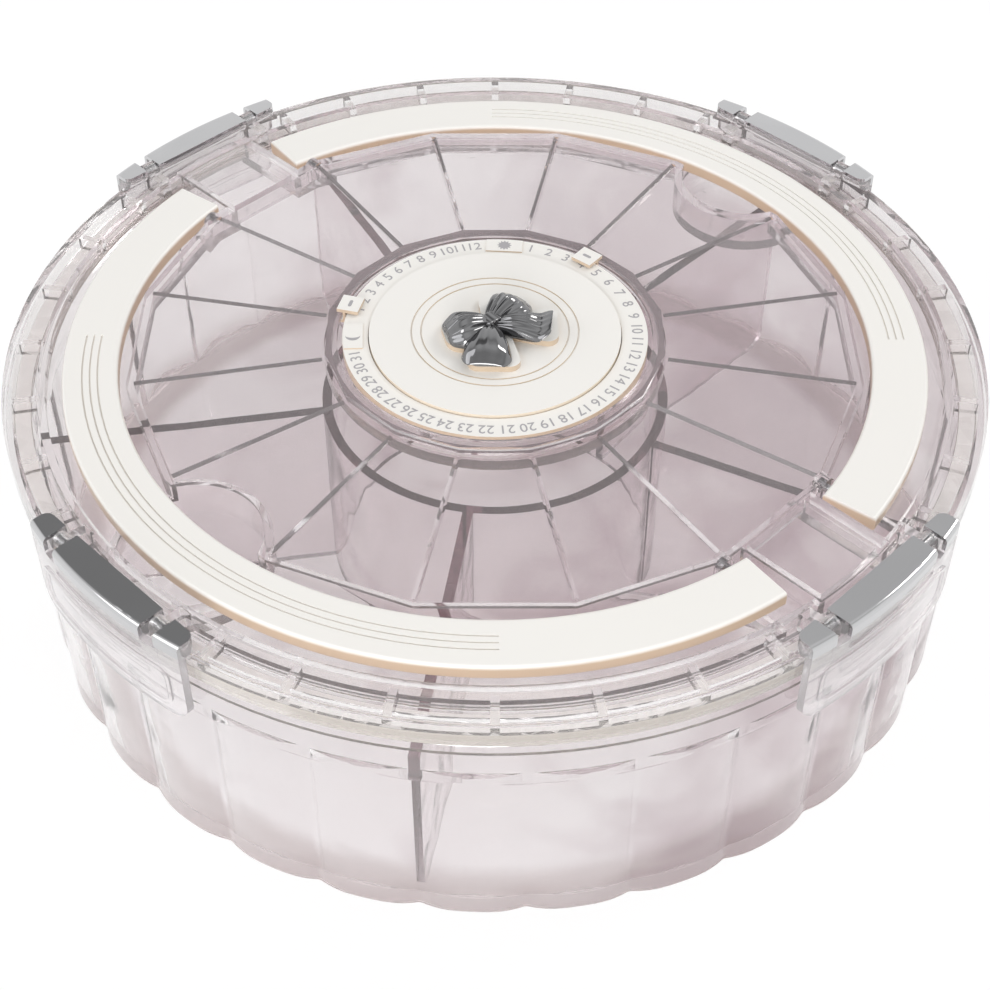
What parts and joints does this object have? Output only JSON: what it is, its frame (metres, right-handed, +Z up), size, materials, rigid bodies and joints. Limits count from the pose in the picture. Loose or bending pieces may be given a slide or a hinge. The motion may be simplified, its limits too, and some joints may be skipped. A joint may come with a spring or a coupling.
{
  "type": "travel pill organizer",
  "caption": "Round clear pill organizer with a fluted bowl, radial compartments, a latched and gasketed lid, swing carry handles and a date dial with sliding pointers.",
  "frame": {"origin": "on the table under the middle of the bowl", "axes": "+Z up, -Y towards the front of the picture, +X to its right"},
  "size_m": [0.15, 0.15, 0.0502],
  "materials": {
    "clear_plastic": "polished",
    "white_plastic": "polished",
    "white_silicone": "matte",
    "chrome_trim": "polished",
    "steel_pin": "plain"
  },
  "bodies": {
    "base": {"base_bowl": "clear_plastic", "divider_insert": "clear_plastic"},
    "lid": {"lid_shell": "clear_plastic", "gasket": "white_silicone", "dial_plate": "white_plastic", "dial_cap": "white_plastic", "dial_bezel": "clear_plastic", "bow_backing": "white_plastic", "bow": "chrome_trim", "handle_pin_1": "steel_pin", "handle_pin_2": "steel_pin", "handle_pin_3": "steel_pin", "handle_pin_4": "steel_pin", "latch_pin_1": "steel_pin", "latch_pin_2": "steel_pin", "latch_pin_3": "steel_pin", "latch_pin_4": "steel_pin"},
    "handle_left": {"handle_left": "white_plastic"},
    "handle_right": {"handle_right": "white_plastic"},
    "month_pointer": {"month_pointer": "white_plastic"},
    "day_pointer": {"day_pointer": "white_plastic"},
    "latch_1": {"latch_flap_1": "clear_plastic", "latch_bar_trim_1": "chrome_trim", "latch_end_trims_1": "chrome_trim"},
    "latch_2": {"latch_flap_2": "clear_plastic", "latch_bar_trim_2": "chrome_trim", "latch_end_trims_2": "chrome_trim"},
    "latch_3": {"latch_flap_3": "clear_plastic", "latch_bar_trim_3": "chrome_trim", "latch_end_trims_3": "chrome_trim"},
    "latch_4": {"latch_flap_4": "clear_plastic", "latch_bar_trim_4": "chrome_trim", "latch_end_trims_4": "chrome_trim"}
  },
  "joints": [
    {"name": "lid_lift", "type": "slide", "parent": "base", "child": "lid", "axis": [0, 0, 1], "range_m": [0, 0.06]},
    {"name": "latch_1_swing", "type": "hinge", "parent": "lid", "child": "latch_1", "pos_m": [-0.05155, -0.05155, 0.0457], "axis": [-0.7071, 0.7071, 0], "range_deg": [0, 90]},
    {"name": "latch_2_swing", "type": "hinge", "parent": "lid", "child": "latch_2", "pos_m": [0.05155, -0.05155, 0.0457], "axis": [-0.7071, -0.7071, 0], "range_deg": [0, 90]},
    {"name": "latch_3_swing", "type": "hinge", "parent": "lid", "child": "latch_3", "pos_m": [0.05155, 0.05155, 0.0457], "axis": [0.7071, -0.7071, 0], "range_deg": [0, 90]},
    {"name": "latch_4_swing", "type": "hinge", "parent": "lid", "child": "latch_4", "pos_m": [-0.05155, 0.05155, 0.0457], "axis": [0.7071, 0.7071, 0], "range_deg": [0, 90]},
    {"name": "handle_left_swing", "type": "hinge", "parent": "lid", "child": "handle_left", "pos_m": [-0.00779, -0.00779, 0.04425], "axis": [-0.7071, 0.7071, 0], "range_deg": [0, 98]},
    {"name": "handle_right_swing", "type": "hinge", "parent": "lid", "child": "handle_right", "pos_m": [0.00779, 0.00779, 0.04425], "axis": [0.7071, -0.7071, 0], "range_deg": [0, 98]},
    {"name": "month_pointer_turn", "type": "hinge", "parent": "lid", "child": "month_pointer", "pos_m": [0, 0, 0.0455], "axis": [0, 0, 1], "range_deg": [-66, 0]},
    {"name": "day_pointer_turn", "type": "hinge", "parent": "lid", "child": "day_pointer", "pos_m": [0, 0, 0.0455], "axis": [0, 0, 1], "range_deg": [-216.5, 23.9]}
  ]
}
